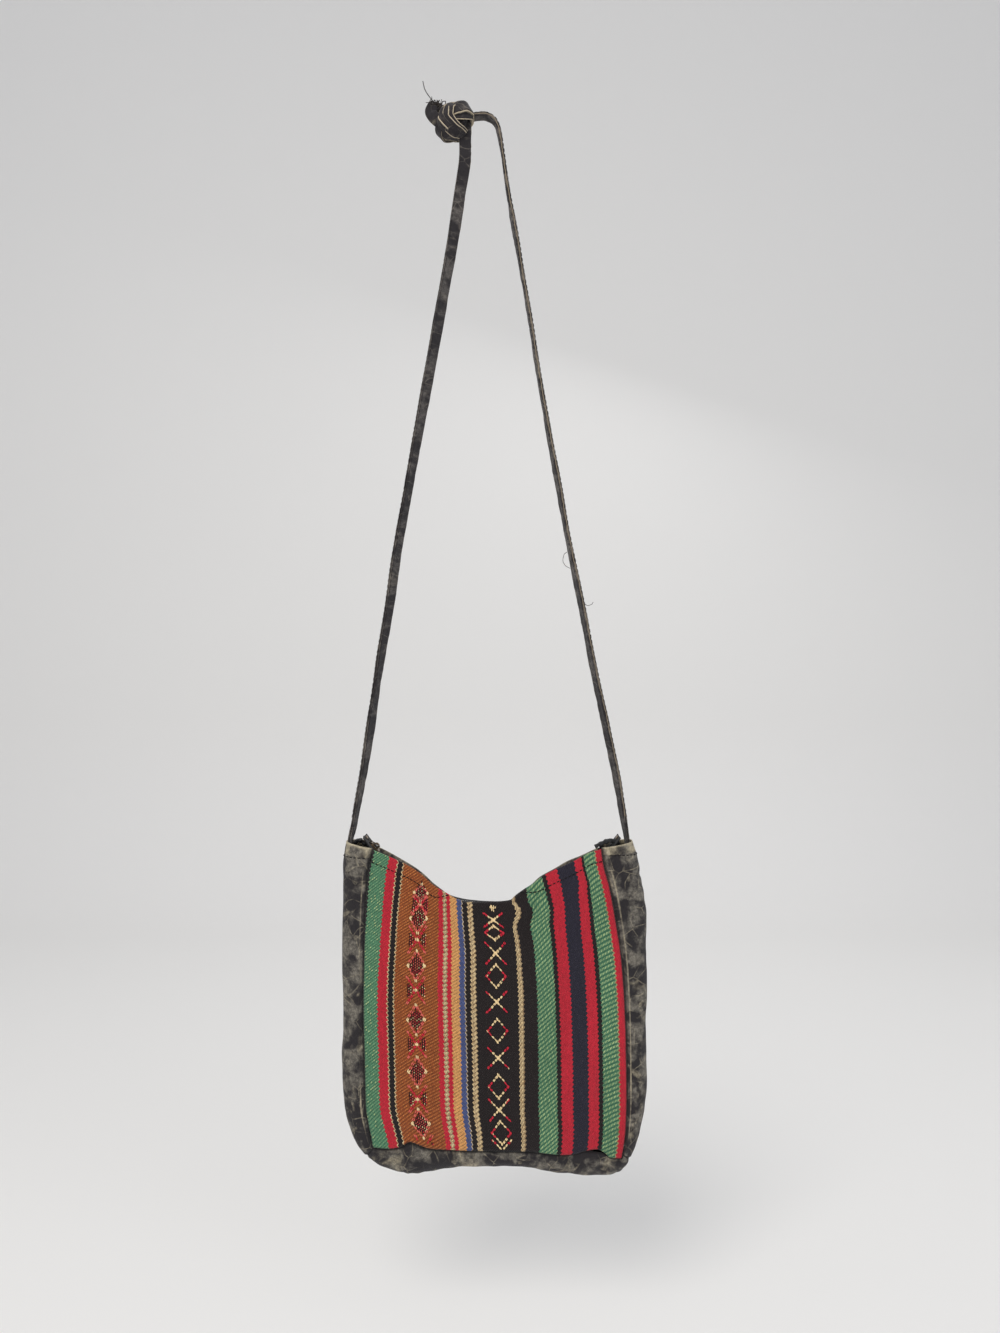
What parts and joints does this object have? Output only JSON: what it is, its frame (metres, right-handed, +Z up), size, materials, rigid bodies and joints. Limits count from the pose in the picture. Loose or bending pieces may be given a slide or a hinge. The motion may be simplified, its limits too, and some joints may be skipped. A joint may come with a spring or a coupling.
{
  "type": "crossbody purse",
  "caption": "Small flat zipped shoulder bag with a striped woven front, a worn dark cotton gusset and back, and a narrow cotton strap knotted at the top, hanging by the strap.",
  "frame": {"origin": "the hang point: the underside of the strap where it passes over whatever it hangs from, in the middle of the strap's width", "axes": "+Z up, along the hanging bag's height; the woven front faces -Y; +X to the right, seen from the front"},
  "size_m": [0.2322, 0.025, 0.8145],
  "materials": {
    "woven_front": "matte",
    "worn_cotton": "matte",
    "lining": "matte",
    "zip_tape": "matte",
    "zip_coil": "satin",
    "zip_metal": "satin"
  },
  "bodies": {
    "strap": {"strap_left": "worn_cotton", "strap_right": "worn_cotton", "strap_knot": "worn_cotton", "strap_tail_front": "worn_cotton", "strap_tail_back": "worn_cotton"},
    "bag": {"front_panel": "woven_front", "back_panel": "worn_cotton", "gusset_left": "worn_cotton", "gusset_bottom": "worn_cotton", "gusset_right": "worn_cotton", "lining_front": "lining", "lining_back": "lining", "zip_tape_front": "zip_tape", "zip_tape_back": "zip_tape", "zip_coil_front": "zip_coil", "zip_coil_back": "zip_coil", "zip_stop_left": "zip_metal", "zip_stop_right": "zip_metal", "strap_end_left": "worn_cotton", "strap_end_right": "worn_cotton"},
    "slider": {"zip_slider": "zip_metal"},
    "pull": {"zip_pull": "zip_metal"}
  },
  "joints": [
    {"name": "bag_swing", "type": "hinge", "parent": "strap", "child": "bag", "pos_m": [0.006, 0, -0.5445], "axis": [1, 0, 0], "range_deg": [-90, 90]},
    {"name": "zip_travel", "type": "hinge", "parent": "bag", "child": "slider", "pos_m": [0.006, 0, -0.48125], "axis": [0, -1, 0], "range_deg": [0, 100], "deforming": ["zip_tape_front", "zip_tape_back", "zip_coil_front", "zip_coil_back"]},
    {"name": "pull_turn", "type": "hinge", "parent": "slider", "child": "pull", "pos_m": [-0.08174, 0, -0.55458], "axis": [0, -1, 0], "range_deg": [-152, 0]}
  ]
}
